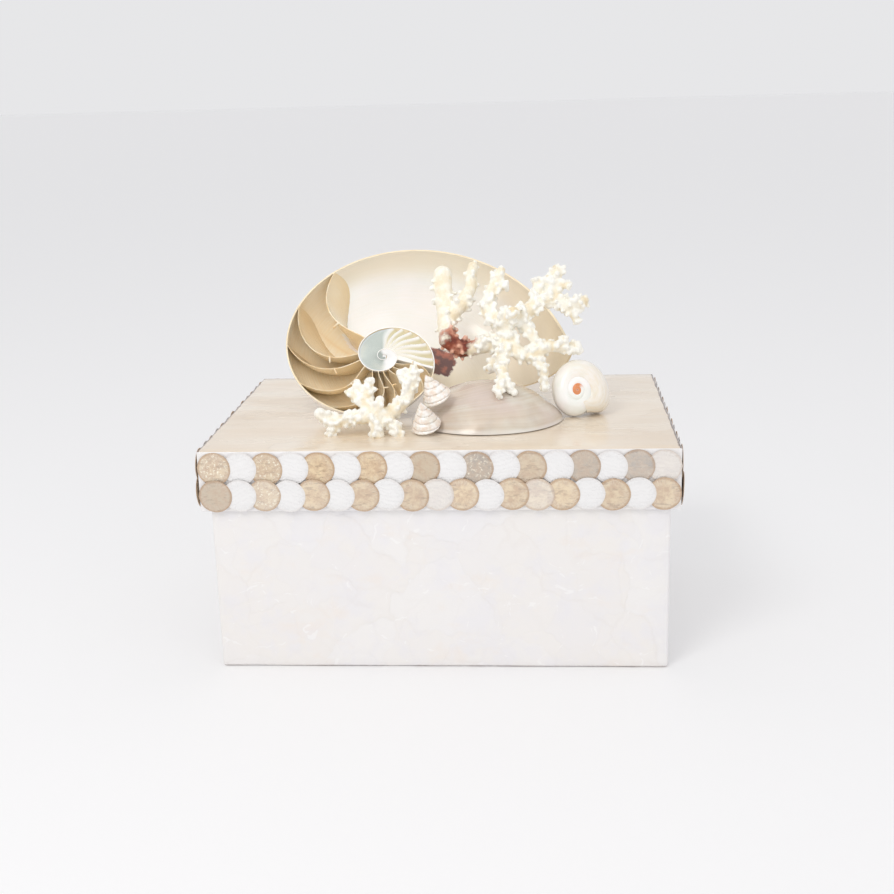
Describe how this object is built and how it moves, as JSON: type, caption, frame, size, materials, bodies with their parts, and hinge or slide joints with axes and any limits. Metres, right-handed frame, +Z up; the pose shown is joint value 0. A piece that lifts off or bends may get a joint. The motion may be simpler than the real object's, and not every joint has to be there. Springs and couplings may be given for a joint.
{
  "type": "shell box",
  "caption": "Rectangular keepsake box clad in mother-of-pearl, with a lift-off lid edged in shell discs and topped with a cut nautilus, corals and small shells.",
  "frame": {"origin": "centre of the box's underside, which is also the bottom centre of the whole part's bounding box", "axes": "+Z up, +X to the viewer's right along the long side, -Y towards the viewer"},
  "size_m": [0.21, 0.1514, 0.1736],
  "materials": {
    "capiz_body": "satin mother-of-pearl sheet on board",
    "capiz_lid": "glossy warm mother-of-pearl sheet on board",
    "rim_discs": "lapped satin shell discs, tan and white by turns",
    "nautilus": "polished nacre, golden tan to pearly white",
    "coral": "matt off-white branching coral",
    "pearl_valve": "grey-pink polished nacre",
    "turban_shell": "pearly white with an orange apex",
    "top_shell": "pinkish silver nacre with dark spiral grooves"
  },
  "bodies": {
    "root": {"box_body": "capiz_body", "lid": "capiz_lid", "rim_discs_front_upper": "rim_discs", "rim_discs_front_lower": "rim_discs", "rim_discs_back_upper": "rim_discs", "rim_discs_back_lower": "rim_discs", "rim_discs_left_upper": "rim_discs", "rim_discs_left_lower": "rim_discs", "rim_discs_right_upper": "rim_discs", "rim_discs_right_lower": "rim_discs", "nautilus_half": "nautilus", "coral_large": "coral", "coral_small": "coral", "pearl_valve": "pearl_valve", "turban_shell": "turban_shell", "top_shell_front": "top_shell", "top_shell_rear": "top_shell"}
  },
  "joints": []
}
